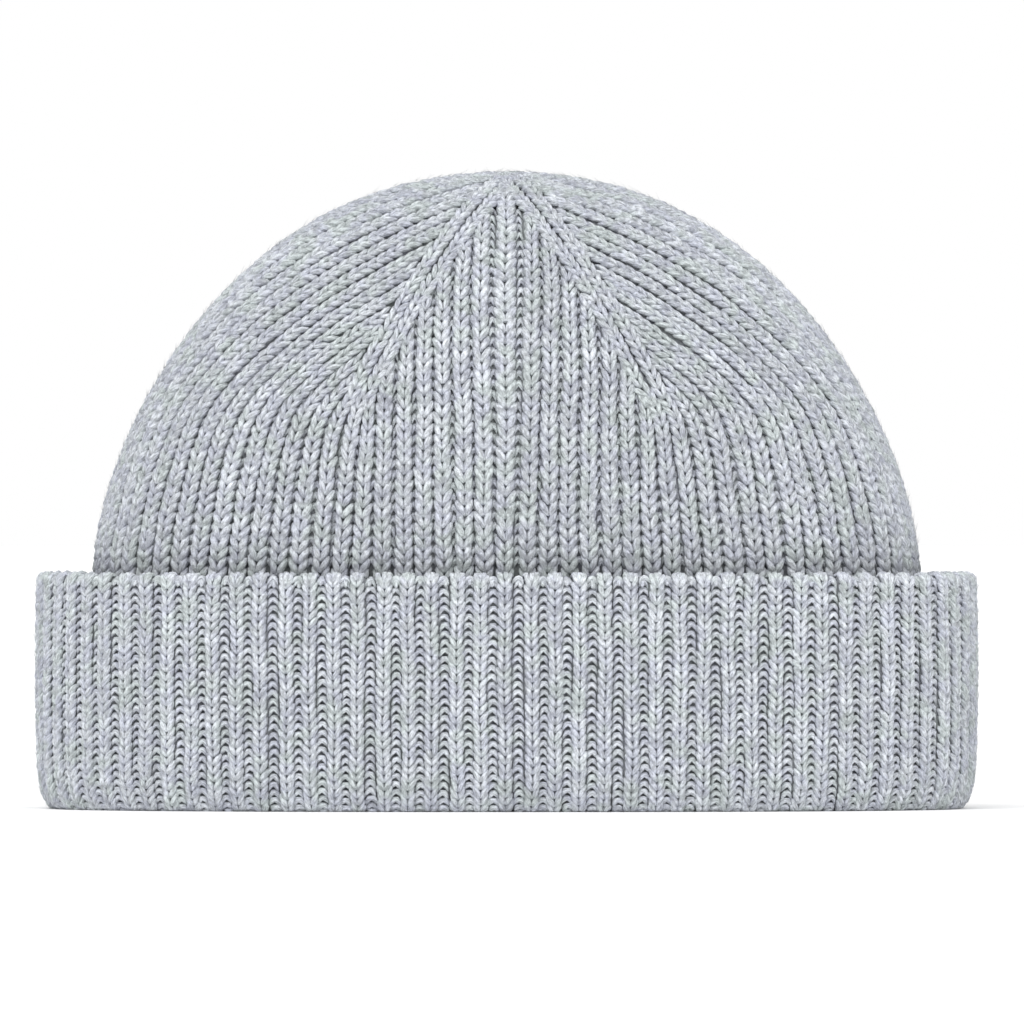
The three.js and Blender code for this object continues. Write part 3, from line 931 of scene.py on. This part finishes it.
def yarnMaterial(name, shade, tuckAndPaintedShade):
    material = bpy.data.materials.new(name)
    material.use_nodes = True
    nodes, links = material.node_tree.nodes, material.node_tree.links
    shader = nodes["Principled BSDF"]
    look = nodes.new("ShaderNodeGroup")
    look.node_tree = yarn
    for label in ("Light", "Lilac", "Moss", "Dark"):
        color = yarnLook[label.lower()]
        look.inputs[label].default_value = (*(value * shade for value in color), 1)
    for label, value in tuckAndPaintedShade.items():
        look.inputs[label].default_value = value
    links.new(look.outputs["Color"], shader.inputs["Base Color"])
    for label in ("Roughness", "Specular IOR Level", "Sheen Weight", "Sheen Roughness"):
        shader.inputs[label].default_value = yarnLook[label]
    relief = nodes.new("ShaderNodeBump")
    relief.inputs["Strength"].default_value = yarnLook["bumpStrength"]
    relief.inputs["Distance"].default_value = yarnLook["bumpDepth"]
    links.new(look.outputs["Height"], relief.inputs["Height"])
    links.new(relief.outputs["Normal"], shader.inputs["Normal"])
    return material


for part, pieces, body in (("crown", crownPieces, crownBody), ("cuff", cuffPieces, cuffBody)):
    # each part's painted shade by height, for its stitches and its body
    tuckAndPaintedShade = yarnLook[part + "Tuck"]
    # the cuff's stitch yarn is the crown's yarn painted lighter: painted light
    stitchYarn = yarnMaterial(part + "Yarn", yarnLook[part + "Shade"], tuckAndPaintedShade)
    for piece in pieces:
        piece.data.materials.append(stitchYarn)
    body.data.materials.clear()
    # the body is the same yarn darkened: painted shade in the gaps between the stitches
    body.data.materials.append(yarnMaterial(part + "BodyYarnPaintedShade", yarnLook["bodyPaintedShade"], tuckAndPaintedShade))

for piece in crownPieces + [crownBody]:
    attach(piece, "root")
    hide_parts("crown")
for piece in cuffPieces + [cuffBody]:
    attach(piece, "root")
    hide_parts("cuff")
print("materials and bindings ready")

# floor, light and camera
studio = {
    "distance": 4.0, "pixel": 0.2394 * mm, "centre": (1.3 * mm, 70.9 * mm), "frame": 1024,
    "sensor": 36,
    "floorSize": 60, "floorColor": (0.9, 0.9, 0.9, 1), "worldColor": (1, 1, 1, 1),
    "fillPlace": (1.2, -2.0, 0.9), "fillAim": (0, 0, 0.07), "fillSize": 1.6, "fillPower": 14,
    "sunTilt": math.radians(42), "sunTurn": math.radians(-28),
    "sunPower": 1.5, "sunWidth": math.radians(50),
}
deselectAll()
bpy.ops.mesh.primitive_plane_add(size=studio["floorSize"], location=(0, 0, 0))
floor = bpy.context.object
floor.name = "floor"
floorMaterial = bpy.data.materials.new("paleFloor")
floorMaterial.use_nodes = True
floorShader = floorMaterial.node_tree.nodes["Principled BSDF"]
floorShader.inputs["Base Color"].default_value = studio["floorColor"]
floorShader.inputs["Roughness"].default_value = 1.0
floor.data.materials.append(floorMaterial)

world = bpy.data.worlds.new("studioWorld")
bpy.context.scene.world = world
world.use_nodes = True
world.node_tree.nodes["Background"].inputs["Color"].default_value = studio["worldColor"]
world.node_tree.nodes["Background"].inputs["Strength"].default_value = 1.0

deselectAll()
bpy.ops.object.light_add(type="AREA", location=studio["fillPlace"])
fill = bpy.context.object
fill.name = "fillLight"
fill.data.size = studio["fillSize"]
fill.data.energy = studio["fillPower"]
direction = np.array(studio["fillAim"]) - np.array(studio["fillPlace"])
fillTilt = math.atan2(math.hypot(direction[0], direction[1]), -direction[2])
fill.rotation_euler = (fillTilt, 0, math.atan2(-direction[0], direction[1]))

deselectAll()
bpy.ops.object.light_add(type="SUN", location=(-1, -1, 2),
                         rotation=(studio["sunTilt"], 0, studio["sunTurn"]))
sun = bpy.context.object
sun.name = "keySun"
sun.data.energy = studio["sunPower"]
sun.data.angle = studio["sunWidth"]

deselectAll()
bpy.ops.object.camera_add(location=(studio["centre"][0], -studio["distance"], studio["centre"][1]),
                          rotation=(math.radians(90), 0, 0))
camera = bpy.context.object
camera.name = "packshotCamera"
camera.data.sensor_width = studio["sensor"]
camera.data.lens = studio["sensor"] * studio["distance"] / (studio["pixel"] * studio["frame"])
camera.data.clip_end = 200
bpy.context.scene.camera = camera
bpy.context.scene.view_settings.view_transform = "Standard"
print("floor, lights and camera ready")
